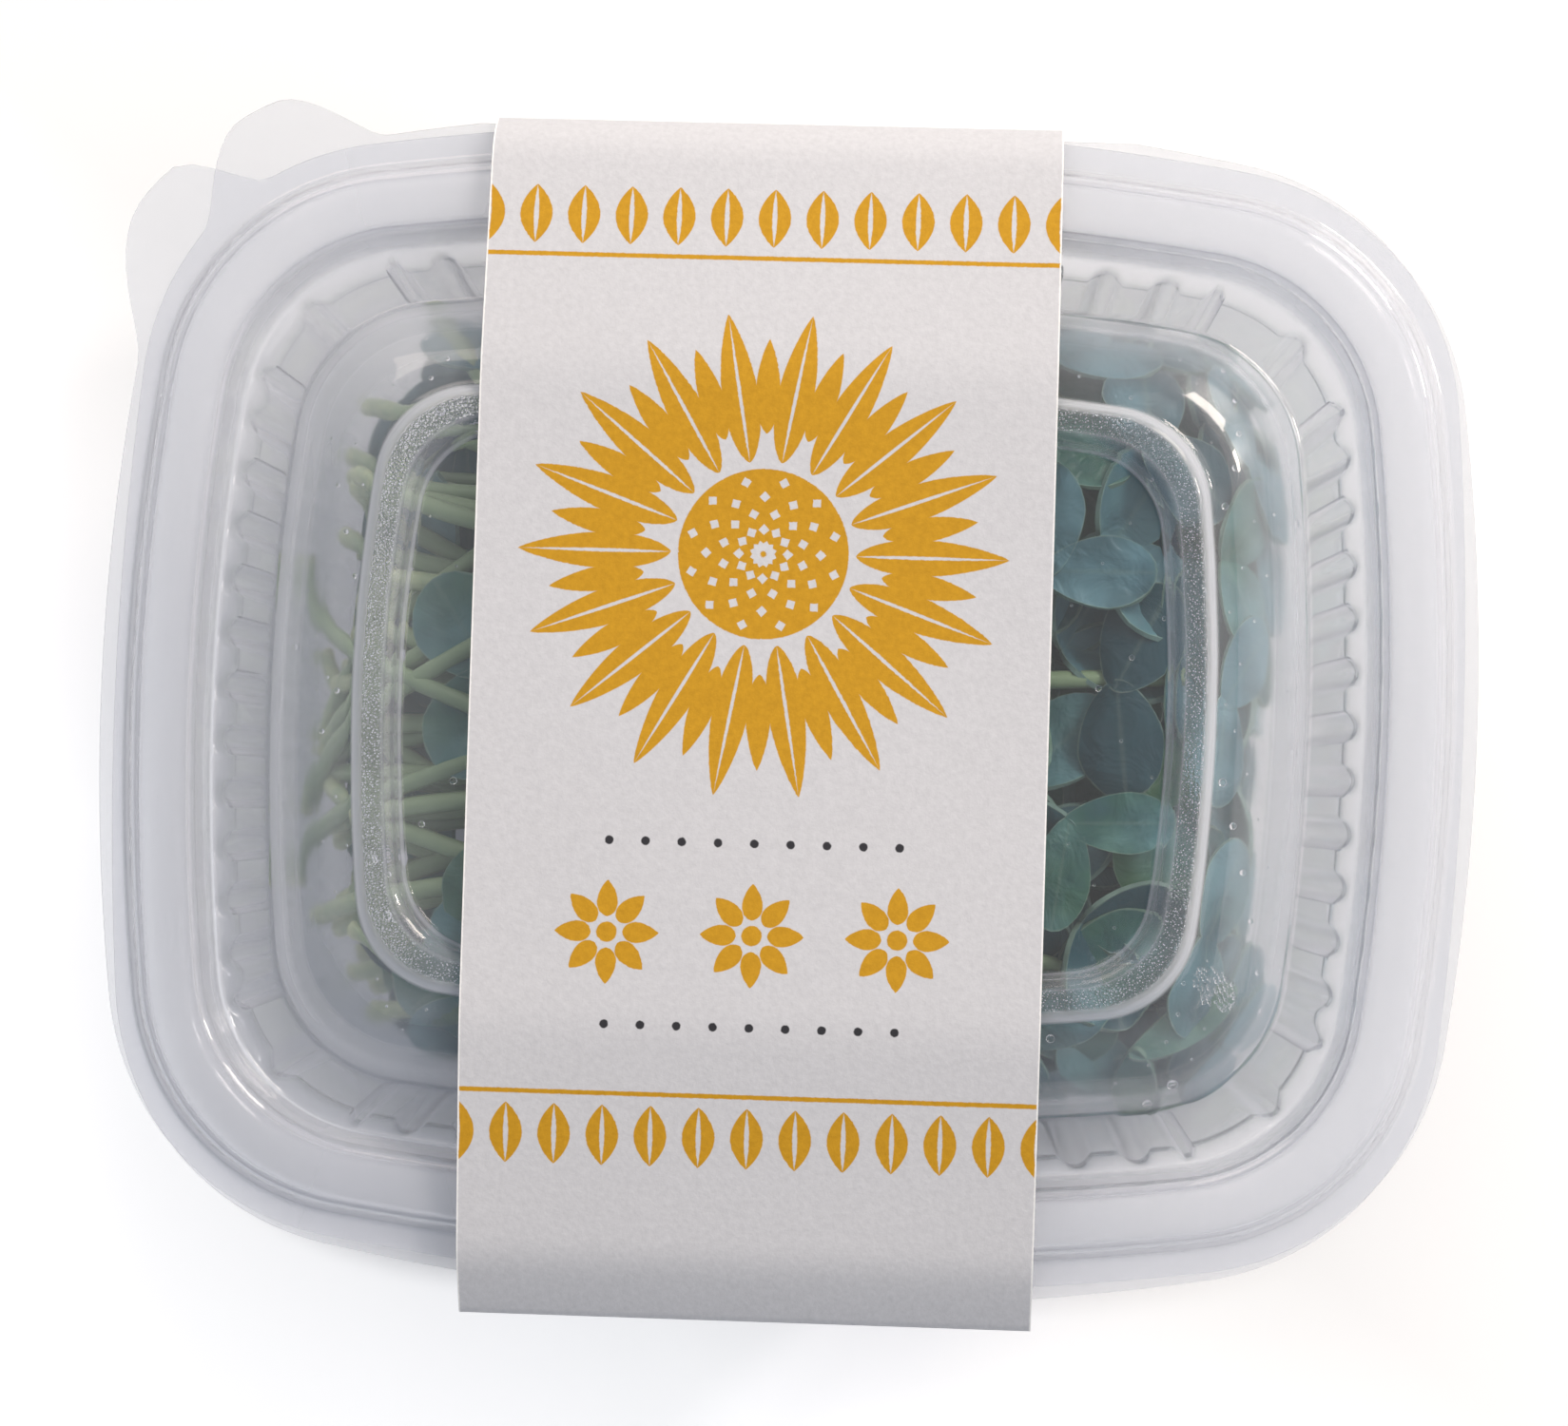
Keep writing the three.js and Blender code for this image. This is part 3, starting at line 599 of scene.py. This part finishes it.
# The lid's underside is the same plastic, fogged on the shoulder and the ring.
fogged_pp = formed_plastic("fogged_polypropylene", "#E9ECF2", [
    (0, 0.06, 0.22, 0), (9, 0.06, 0.18, 0), (11.5, 0.08, 0.13, 0), (16.8, 0.08, 0.13, 0),
    (18, 0.2, 0.22, 0), (23, 0.17, 0.2, 0), (27.6, 0.07, 0.07, 0), (27.95, 0.1, 0.95, 0.2), (28.3, 0.1, 0.95, 0.5),
    (28.5, 0.05, 0.14, 1), (30.6, 0.05, 0.12, 1), (30.8, 0.05, 0.35, 0.2), (31.1, 0.05, 0.14, 0.1),
    (31.7, 0.03, 0.16, 0), (32.0, 0.03, 0.08, 0), (32.3, 0.03, 0.5, 0), (32.6, 0.02, 0.02, 0),
    (34, 0.02, 0.01, 0)], fog_at_cuts=0.1)

make_piece("lid_shell", lid, [fogged_pp, clear_pp], replaces="lid")

# Loose drops of water that hang under the lid, a few larger ones among many small.
def underside(inset):
    """Height of the lid's lower face at a distance from the lip."""
    course = LID_COURSE[::-1]
    for (outer, low), (inner, high) in zip(course, course[1:]):
        if inset < inner:
            return LID_LIP_HEIGHT + low + (high - low) * (inset - outer) / (inner - outer)
    return LID_LIP_HEIGHT + course[-1][1]


drops = [(29.6, 0.86, -1, -1, 0.62), (29.4, 1.7, -1, 1, 0.55), (30.2, 1.25, -1, -1, 0.5)]
for drop in range(220):
    inset = spread(drop, 0.5698, 18, 27) if drop % 3 else spread(drop, 0.5698, 28.8, 50)
    size = 0.16 + 0.5 * spread(drop, 0.4142, 0, 1) ** 6
    drops.append((inset, spread(drop, 0.7549, 0, 3), (-1, 1)[drop % 2], (1, -1)[drop % 4 // 2],
                  size))
for drop in range(90):  # a patch of fine drops on the shoulder, at the front by the leaves
    spot = spread(drop, 0.618, -1, 1), spread(drop, 0.7549, -1, 1)
    drops.append((24.2 + 2.2 * spot[0], 1.24 + 0.12 * spot[1] * math.sqrt(1 - spot[0] ** 2), 1, -1,
                  spread(drop, 0.4142, 0.09, 0.24)))
bm = bmesh.new()
for inset, place, sign_x, sign_y, size in drops:
    flat = plan_point(LID_LIP, inset, place)
    made = bmesh.ops.create_uvsphere(bm, u_segments=10, v_segments=6, radius=size)["verts"]
    bmesh.ops.scale(bm, verts=made, vec=(1, 1, 0.6))
    bmesh.ops.translate(bm, verts=made, vec=(sign_x * flat.x, sign_y * flat.y,
                                             underside(inset) - 0.3 * size))
water, tree, output = new_material("water_drops")
wet = add_node(tree, "ShaderNodeBsdfPrincipled", {}, {
    "Base Color": linear("#FFFFFF"), "Roughness": 0.0, "IOR": 1.333, "Transmission Weight": 1.0})
let_light_in(tree, output, wet)
make_piece("water_drops", bm, [water])

# ---- Card sleeve ------------------------------------------------------------------------------
# A strip of uncoated white card, 60 mm wide, wrapped tightly round the tray and creased over
# both lips, with its ends lapped and glued underneath. It is printed in golden yellow and
# charcoal with a flower head, small florets and leaf borders.

CARD_THICKNESS = 0.3
SLEEVE_HALF_WIDTH = 30
SLEEVE_SHIFT_X = -2.4
SLEEVE_TURN = 0.5
ACROSS_STEPS = 20

# y, height, and how far before each crease the card starts to bend, along its outer face
SLEEVE_COURSE = [
    (9, 0, 0), (-43.4, 0, 2.2), (-65.43, 47.5, 1.4), (-58.75, 52.0, 2.4), (-34.25, 57.04, 2.6),
    (34.25, 57.04, 2.6), (58.7, 52.0, 2.4), (61.72, 47.9, 1.2), (43.8, 0.34, 2.4), (9.5, 0.34, 1),
    (-9, 0.34, 0),
]

course = [Vector((0, y, height)) for y, height, _ in SLEEVE_COURSE]
line = [course[0]]
for i in range(1, len(course) - 1):
    starts = []
    for end in (course[i - 1], course[i + 1]):
        leg = end - course[i]
        starts.append(course[i] + leg.normalized() * min(SLEEVE_COURSE[i][2], leg.length * 0.45))
    for t in (0, 0.25, 0.5, 0.75, 1):
        line.append(starts[0].lerp(course[i], t).lerp(course[i].lerp(starts[1], t), t))
line.append(course[-1])
path = [line[0]]
for point in line[1:]:
    pieces = max(1, round((point - path[-1]).length / 4))
    path += [path[-1].lerp(point, (k + 1) / pieces) for k in range(pieces)]

bm = bmesh.new()
length_layer = bm.verts.layers.float.new("along_card")
across_layer = bm.verts.layers.float.new("across_card")
first = [bm.verts.new((-SLEEVE_HALF_WIDTH, p.y, p.z)) for p in path]
length = 0
for i, v in enumerate(first):
    if i:
        length += (path[i] - path[i - 1]).length
    v[length_layer] = length
top_start = next(v[length_layer] for v, p in zip(first, path) if p.z > 56.9)
top_end = max(v[length_layer] for v, p in zip(first, path) if p.z > 56.9)
for v in first:
    v[length_layer] -= (top_start + top_end) / 2
    v[across_layer] = -SLEEVE_HALF_WIDTH
edges = [bm.edges.new(pair) for pair in zip(first, first[1:])]
for step in range(1, ACROSS_STEPS + 1):
    grown = bmesh.ops.extrude_edge_only(bm, edges=edges)["geom"]
    edges = [g for g in grown if isinstance(g, bmesh.types.BMEdge)]
    across = SLEEVE_HALF_WIDTH * (2 * step / ACROSS_STEPS - 1)
    for v in [g for g in grown if isinstance(g, bmesh.types.BMVert)]:
        v.co.x = v[across_layer] = across
# the card isn't quite flat: its long edges lift a little and its face waves very slightly
for v in bm.verts:
    side = v[across_layer] / SLEEVE_HALF_WIDTH
    if v.co.z > 50:
        v.co.z -= 0.12 + 0.1 * math.sin(v.co.y * 0.11 + 1.3 * side) - 0.16 * side**4
bmesh.ops.recalc_face_normals(bm, faces=bm.faces)
if max(bm.faces, key=lambda f: f.calc_center_median().z).normal.z < 0:
    bmesh.ops.reverse_faces(bm, faces=bm.faces)
bmesh.ops.solidify(bm, geom=bm.faces[:], thickness=CARD_THICKNESS)
bmesh.ops.rotate(bm, verts=bm.verts, matrix=Matrix.Rotation(math.radians(SLEEVE_TURN), 3, "Z"))
bmesh.ops.translate(bm, verts=bm.verts, vec=(SLEEVE_SHIFT_X, 0, 0))

# Uncoated card: matt and very slightly warm, with a fine tooth of fibres. The ink soaks in, so
# the print is as matt as the card.
printed_card, tree, output = new_material("printed_uncoated_card")
along = add_node(tree, "ShaderNodeAttribute", {"attribute_name": "along_card"}, {}).outputs["Fac"]
across = add_node(tree, "ShaderNodeAttribute", {"attribute_name": "across_card"}, {}).outputs["Fac"]
coords = add_node(tree, "ShaderNodeTexCoord", {}, {}).outputs["Object"]


def reckon(operation, *values):
    """The result of a sum on sockets or numbers, in the printed card's node tree."""
    return add_node(tree, "ShaderNodeMath", {"operation": operation},
                    dict(enumerate(values))).outputs[0]


def within(value, limit):
    """1 where a value is under its limit, with a soft edge a tenth of a millimetre wide."""
    return reckon("MULTIPLY", reckon("SUBTRACT", limit, value), 10.0)


# the ink's edge strays by a few hundredths of a millimetre, as it does on card with a tooth
bleed = add_node(tree, "ShaderNodeTexNoise", {}, {"Vector": coords, "Scale": 2500.0, "Detail": 2.0})
stray = reckon("MULTIPLY_ADD", bleed.outputs["Fac"], 0.14, -0.07)
along = reckon("ADD", along, stray)
across = reckon("ADD", across, stray)


def inked(value):
    return reckon("MINIMUM", reckon("MAXIMUM", value, 0.0), 1.0)


def petals(radius, angle, count, start, end, half_width, half_turn, vein):
    """A ring of pointed petals, each with a bare line down its middle."""
    turned = reckon("FRACT", reckon("MULTIPLY_ADD", angle, count / math.tau, half_turn + 0.5 + count))
    aside = reckon("MULTIPLY", reckon("ABSOLUTE", reckon("SUBTRACT", turned, 0.5)),
                   reckon("MULTIPLY", radius, math.tau / count))
    share = inked(reckon("DIVIDE", reckon("SUBTRACT", radius, start), end - start))
    belly = reckon("POWER", reckon("SINE", reckon("MULTIPLY", reckon("POWER", share, 0.8), math.pi)),
                   0.75)
    blade = inked(within(aside, reckon("MULTIPLY", belly, half_width)))
    if not vein:
        return blade
    line = inked(within(aside, reckon("MULTIPLY", belly, vein)))
    return reckon("MULTIPLY", blade, reckon("SUBTRACT", 1.0, line))


def dots(x, y, pitch, limit, radius):
    """A row of round dots at a pitch across the card, as far out as the limit."""
    near = reckon("SUBTRACT", reckon("FRACT", reckon("MULTIPLY_ADD", x, 1 / pitch, 100.5)), 0.5)
    near = reckon("MULTIPLY", near, pitch)
    distance = reckon("SQRT", reckon("ADD", reckon("MULTIPLY", near, near), reckon("MULTIPLY", y, y)))
    row = inked(within(distance, radius))
    return reckon("MULTIPLY", row, inked(within(reckon("ABSOLUTE", x), limit)))


def leaf_border(x, y, pitch, height, half_width):
    """A row of upright pointed leaves across the whole card."""
    near = reckon("SUBTRACT", reckon("FRACT", reckon("MULTIPLY_ADD", x, 1 / pitch, 100.5)), 0.5)
    aside = reckon("MULTIPLY", reckon("ABSOLUTE", near), pitch)
    share = inked(reckon("DIVIDE", y, height))
    belly = reckon("POWER", reckon("SINE", reckon("MULTIPLY", share, math.pi)), 0.8)
    blade = inked(within(aside, reckon("MULTIPLY", belly, half_width)))
    line = inked(within(aside, reckon("MULTIPLY", belly, 0.3)))
    return reckon("MULTIPLY", blade, reckon("SUBTRACT", 1.0, line))


def polar(x, y):
    radius = reckon("SQRT", reckon("ADD", reckon("MULTIPLY", x, x), reckon("MULTIPLY", y, y)))
    return radius, reckon("ARCTAN2", y, x)


HEAD_ALONG = 15.0
radius, angle = polar(across, reckon("SUBTRACT", along, HEAD_ALONG))
head = petals(radius, angle, 18, 9.6, 25.5, 1.95, 0.0, 0.22)
head = reckon("MAXIMUM", head, petals(radius, angle, 18, 12.5, 22.5, 1.35, 0.5, 0.0))
seed_ring = reckon("MULTIPLY", reckon("FLOOR", reckon("DIVIDE", radius, 1.7)), 0.5)
seed_turn = reckon("FRACT", reckon("MULTIPLY_ADD", angle, 12 / math.tau, reckon("ADD", seed_ring, 12.0)))
seed_aside = reckon("MULTIPLY", reckon("ABSOLUTE", reckon("SUBTRACT", seed_turn, 0.5)),
                    reckon("MULTIPLY", radius, math.tau / 12))
seed_out = reckon("MULTIPLY", reckon("ABSOLUTE", reckon("SUBTRACT", reckon(
    "FRACT", reckon("DIVIDE", radius, 1.7)), 0.5)), 1.7)
seeds = inked(within(reckon("ADD", seed_aside, seed_out), 0.62))
disc = reckon("MULTIPLY", inked(within(radius, 8.9)), reckon("SUBTRACT", 1.0, seeds))
gold = reckon("MAXIMUM", head, disc)

floret_x = reckon("MULTIPLY", reckon("SUBTRACT", reckon(
    "FRACT", reckon("MULTIPLY_ADD", across, 1 / 15, 100.5)), 0.5), 15.0)
radius, angle = polar(floret_x, reckon("ADD", along, 24.5))
florets = petals(radius, angle, 8, 1.6, 5.4, 1.15, 0.0, 0.0)
florets = reckon("MAXIMUM", florets, inked(within(radius, 1.1)))
florets = reckon("MULTIPLY", florets, inked(within(reckon("ABSOLUTE", across), 22.5)))
gold = reckon("MAXIMUM", gold, florets)
for start, way in ((47.5, 1.0), (-42.5, -1.0)):
    border = leaf_border(across, reckon("MULTIPLY", reckon("SUBTRACT", along, start), way), 5.0,
                         6.5, 1.75)
    gold = reckon("MAXIMUM", gold, border)
    rule = inked(within(reckon("ABSOLUTE", reckon("SUBTRACT", along, start - 1.2 * way)), 0.3))
    gold = reckon("MAXIMUM", gold, rule)
charcoal = dots(across, reckon("ADD", along, 15.0), 3.75, 18.0, 0.5)
charcoal = reckon("MAXIMUM", charcoal, dots(across, reckon("ADD", along, 34.0), 3.75, 18.0, 0.5))

fibres = add_node(tree, "ShaderNodeTexNoise", {}, {"Vector": coords, "Scale": 1500.0, "Detail": 4.0,
                                                   "Roughness": 0.65})
card = add_node(tree, "ShaderNodeValToRGB", {}, {"Fac": fibres.outputs["Fac"]})
card.color_ramp.elements[0].position = 0.3
card.color_ramp.elements[0].color = linear("#C8C7CA")
card.color_ramp.elements[1].position = 0.7
card.color_ramp.elements[1].color = linear("#D2D1D4")
ink = add_node(tree, "ShaderNodeValToRGB", {}, {"Fac": fibres.outputs["Fac"]})
ink.color_ramp.elements[0].position = 0.3
ink.color_ramp.elements[0].color = linear("#BE8A06")
ink.color_ramp.elements[1].position = 0.72
ink.color_ramp.elements[1].color = linear("#CD9712")
in_gold = add_node(tree, "ShaderNodeMix", {"data_type": "RGBA"},
                   {0: gold, 6: card.outputs["Color"], 7: ink.outputs["Color"]})
in_charcoal = add_node(tree, "ShaderNodeMix", {"data_type": "RGBA"},
                       {0: charcoal, 6: in_gold.outputs[2], 7: linear("#2C2B30")})
# a painted highlight: a thin near-white line along both long edges of the card, standing for
# its lit cut edge
painted_edge_highlight = inked(within(reckon("SUBTRACT", SLEEVE_HALF_WIDTH, reckon("ABSOLUTE", across)), 0.2))
printed = add_node(tree, "ShaderNodeMix", {"data_type": "RGBA"},
                   {0: painted_edge_highlight, 6: in_charcoal.outputs[2], 7: linear("#F6F4F2")})
tooth = add_node(tree, "ShaderNodeBump", {}, {"Height": fibres.outputs["Fac"], "Strength": 0.35,
                                              "Distance": 0.00012})
paper = add_node(tree, "ShaderNodeBsdfPrincipled", {}, {
    "Base Color": printed.outputs[2], "Roughness": 0.78, "IOR": 1.48,
    "Normal": tooth.outputs["Normal"]})
tree.links.new(paper.outputs[0], output.inputs["Surface"])

make_piece("card_sleeve", bm, [printed_card], sharp=50, replaces="paper_sleeve")

# ---- Floor and light --------------------------------------------------------------------------
# A pale floor, with a painted glow round the tray's outline that lifts the tray's shadow, a soft
# cool fill from all round, and a warmer soft lamp from the leaves' end and the back.

bm = bmesh.new()
bmesh.ops.create_grid(bm, x_segments=1, y_segments=1, size=1.5)
bmesh.ops.translate(bm, verts=bm.verts, vec=(0, 0, -0.0001))
floor_mesh = bpy.data.meshes.new("floor")
bm.to_mesh(floor_mesh)
bm.free()
# White floor with a painted glow round the tray's outline on its shaded side, which lifts the
# tray's shadow; the glow is seen only by the camera and through the clear plastic.
pale_floor, tree, output = new_material("pale_floor_painted_glow")
coords = add_node(tree, "ShaderNodeTexCoord", {}, {}).outputs["Object"]
sides = add_node(tree, "ShaderNodeVectorMath", {"operation": "MULTIPLY"},
                 {0: coords, 1: (1 / 0.0726, 1 / 0.0643, 0)})
fourth = add_node(tree, "ShaderNodeVectorMath", {"operation": "POWER"},
                  {0: add_node(tree, "ShaderNodeVectorMath", {"operation": "ABSOLUTE"},
                               {0: sides.outputs[0]}).outputs[0], 1: (4, 4, 4)})
ring = add_node(tree, "ShaderNodeVectorMath", {"operation": "DOT_PRODUCT"},
                {0: fourth.outputs[0], 1: (1, 1, 0)})
beyond = add_node(tree, "ShaderNodeMapRange", {"interpolation_type": "SMOOTHSTEP"},
                  {"Value": ring.outputs["Value"], "From Min": 0.95, "From Max": 1.35})
shade = add_node(tree, "ShaderNodeVectorMath", {"operation": "DOT_PRODUCT"},
                 {0: coords, 1: (-1, -1.2, 0)})
lift = add_node(tree, "ShaderNodeMapRange", {},
                {"Value": shade.outputs["Value"], "From Min": 0.01, "From Max": 0.1,
                 "To Min": 0.05, "To Max": 0.4})
painted_glow_mask = add_node(tree, "ShaderNodeMath", {"operation": "MULTIPLY"},
                {0: beyond.outputs[0], 1: lift.outputs[0]})
path = add_node(tree, "ShaderNodeLightPath", {}, {})
seen = add_node(tree, "ShaderNodeMath", {"operation": "MAXIMUM"},
                {0: path.outputs["Is Camera Ray"], 1: path.outputs["Is Transmission Ray"]})
painted_glow_strength = add_node(tree, "ShaderNodeMath", {"operation": "MULTIPLY"},
               {0: painted_glow_mask.outputs[0], 1: seen.outputs[0]})
board = add_node(tree, "ShaderNodeBsdfPrincipled", {}, {
    "Base Color": linear("#FBFBFB"), "Roughness": 0.9, "Emission Color": linear("#FFFFFF"),
    "Emission Strength": painted_glow_strength.outputs[0]})
tree.links.new(board.outputs[0], output.inputs["Surface"])
floor_mesh.materials.append(pale_floor)
floor = bpy.data.objects.new("floor", floor_mesh)
bpy.context.scene.collection.objects.link(floor)


def add_lamp(name, place, target, size, power, colour):
    data = bpy.data.lights.new(name, "AREA")
    data.size = size
    data.energy = power
    data.color = linear(colour)[:3]
    lamp = bpy.data.objects.new(name, data)
    bpy.context.scene.collection.objects.link(lamp)
    away = Vector(place) - Vector(target)
    lamp.matrix_world = Matrix.Translation(place) @ away.to_track_quat("Z", "Y").to_matrix().to_4x4()


add_lamp("key_lamp", (0.74, 0.345, 0.76), (0, 0, 0.04), 0.12, 2, "#FFF6EC")
add_lamp("window_lamp", (0.58, 0.69, 0.70), (0, 0, 0.04), 0.32, 4.6, "#FFF4E8")
add_lamp("back_panel", (-0.3, 0.75, 0.62), (-0.03, 0.02, 0.04), 0.5, 1.6, "#FFF1E6")
add_lamp("sky_panel", (0.85, 0.1, 0.66), (0, 0, 0.04), 1.1, 3.1, "#FFF5EF")

# The fill is cool and dim from the front left, and warmer and brighter towards the back right.
# Looked at directly, the studio is as pale as the floor.
world = bpy.data.worlds.new("studio")
world.use_nodes = True
tree = world.node_tree
direction = add_node(tree, "ShaderNodeTexCoord", {}, {}).outputs["Generated"]
towards = add_node(tree, "ShaderNodeVectorMath", {"operation": "DOT_PRODUCT"},
                   {0: direction, 1: (0.55, 0.75, 0.45)})
share = add_node(tree, "ShaderNodeMapRange", {},
                 {"Value": towards.outputs["Value"], "From Min": -1.0, "From Max": 1.0})
fill = add_node(tree, "ShaderNodeValToRGB", {}, {"Fac": share.outputs[0]})
fill.color_ramp.elements[0].color = (0.01, 0.07, 0.15, 1)
fill.color_ramp.elements[1].color = (0.85, 0.835, 0.82, 1)
path = add_node(tree, "ShaderNodeLightPath", {}, {})
sky = add_node(tree, "ShaderNodeMix", {"data_type": "RGBA"},
               {0: path.outputs["Is Camera Ray"], 6: fill.outputs["Color"], 7: linear("#FFFFFF")})
tree.links.new(sky.outputs[2], tree.nodes["Background"].inputs["Color"])
tree.nodes["Background"].inputs["Strength"].default_value = 1.0
bpy.context.scene.world = world
bpy.context.scene.view_settings.view_transform = "Standard"
